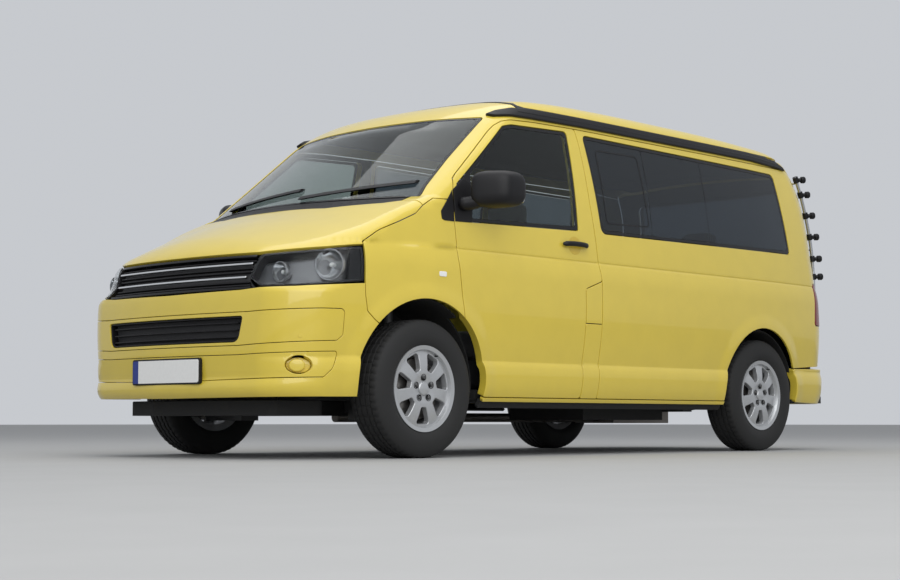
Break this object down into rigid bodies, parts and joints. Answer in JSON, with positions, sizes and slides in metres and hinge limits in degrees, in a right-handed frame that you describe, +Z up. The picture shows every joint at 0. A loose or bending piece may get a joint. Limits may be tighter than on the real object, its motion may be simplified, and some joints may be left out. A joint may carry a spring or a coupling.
{
  "type": "camper van",
  "caption": "Full-size camper van with a lifting roof, hinged front doors, bonnet and tailgate, steered and free-turning wheels, tinted windows and a rear bike rack.",
  "frame": {"origin": "on the ground under the middle of the van's box", "axes": "+X forward, +Y to the van's left, +Z up"},
  "size_m": [4.902, 2.296, 1.99],
  "materials": {
    "paint": "gloss",
    "underbody": "matte",
    "black_plastic": "satin",
    "gloss_black": "gloss",
    "screen_glass": "clear, faint green",
    "privacy_glass": "dark tint",
    "lamp_lens": "clear",
    "tail_lens": "gloss",
    "plate": "blank",
    "dash_plastic": "matte",
    "seat_cloth": "woven",
    "steel": "bare, dusty",
    "exhaust_steel": "dull",
    "rack_tube": "satin",
    "tyre": "matte",
    "alloy": "silver lacquer"
  },
  "bodies": {
    "van_body": {"floor_pan": "underbody", "wheel_liners": "underbody", "side_panel_left": "paint", "side_panel_right": "paint", "sliding_door": "paint", "fuel_flap": "paint", "upper_frame": "paint", "fenders": "paint", "front_bumper": "paint", "grilles": "gloss_black", "headlamp_housings": "gloss_black", "headlamp_lenses": "lamp_lens", "windscreen": "screen_glass", "side_glass_left": "privacy_glass", "side_glass_right": "privacy_glass", "cowl": "black_plastic", "wipers": "black_plastic", "front_plate": "plate", "rear_bumper": "paint", "tail_lamps": "tail_lens", "roof_rails": "black_plastic", "dashboard": "dash_plastic", "steering_wheel": "black_plastic", "front_seats": "seat_cloth", "rear_bench": "seat_cloth", "engine": "steel", "front_suspension": "steel", "rear_suspension": "steel", "exhaust": "exhaust_steel", "fuel_tank": "underbody"},
    "bonnet": {"bonnet": "paint"},
    "pop_top": {"pop_top": "paint"},
    "tailgate": {"tailgate": "paint", "tailgate_glass": "privacy_glass", "bike_rack": "rack_tube"},
    "door_left": {"door_left": "paint", "door_glass_left": "screen_glass", "mirror_left": "black_plastic"},
    "door_right": {"door_right": "paint", "door_glass_right": "screen_glass", "mirror_right": "black_plastic"},
    "knuckle_left": {"knuckle_left": "steel"},
    "knuckle_right": {"knuckle_right": "steel"},
    "wheel_front_left": {"tyre_front_left": "tyre", "rim_front_left": "alloy"},
    "wheel_front_right": {"tyre_front_right": "tyre", "rim_front_right": "alloy"},
    "wheel_rear_left": {"tyre_rear_left": "tyre", "rim_rear_left": "alloy"},
    "wheel_rear_right": {"tyre_rear_right": "tyre", "rim_rear_right": "alloy"}
  },
  "joints": [
    {"name": "steer_left", "type": "hinge", "parent": "van_body", "child": "knuckle_left", "pos_m": [1.547, 0.77, 0.343], "axis": [0, 0, 1], "range_deg": [-36, 36]},
    {"name": "steer_right", "type": "hinge", "parent": "van_body", "child": "knuckle_right", "pos_m": [1.547, -0.77, 0.343], "axis": [0, 0, 1], "range_deg": [-36, 36]},
    {"name": "spin_front_left", "type": "hinge", "parent": "knuckle_left", "child": "wheel_front_left", "pos_m": [1.547, 0.814, 0.343], "axis": [0, 1, 0], "continuous": true},
    {"name": "spin_front_right", "type": "hinge", "parent": "knuckle_right", "child": "wheel_front_right", "pos_m": [1.547, -0.814, 0.343], "axis": [0, 1, 0], "continuous": true},
    {"name": "spin_rear_left", "type": "hinge", "parent": "van_body", "child": "wheel_rear_left", "pos_m": [-1.453, 0.814, 0.343], "axis": [0, 1, 0], "continuous": true},
    {"name": "spin_rear_right", "type": "hinge", "parent": "van_body", "child": "wheel_rear_right", "pos_m": [-1.453, -0.814, 0.343], "axis": [0, 1, 0], "continuous": true},
    {"name": "door_left_hinge", "type": "hinge", "parent": "van_body", "child": "door_left", "pos_m": [1.395, 0.926, 0.9], "axis": [0, 0, -1], "range_deg": [0, 68]},
    {"name": "door_right_hinge", "type": "hinge", "parent": "van_body", "child": "door_right", "pos_m": [1.395, -0.926, 0.9], "axis": [0, 0, 1], "range_deg": [0, 68]},
    {"name": "bonnet_hinge", "type": "hinge", "parent": "van_body", "child": "bonnet", "pos_m": [1.479, 0, 1.232], "axis": [0, -1, 0], "range_deg": [0, 55]},
    {"name": "tailgate_hinge", "type": "hinge", "parent": "van_body", "child": "tailgate", "pos_m": [-2.179, 0, 1.82], "axis": [0, 1, 0], "range_deg": [0, 85]},
    {"name": "pop_top_hinge", "type": "hinge", "parent": "van_body", "child": "pop_top", "pos_m": [-2.101, 0, 1.854], "axis": [0, -1, 0], "range_deg": [0, 19]}
  ],
  "couplings": [
    {"joint": "steer_right", "follows": "steer_left", "ratio": 1}
  ]
}
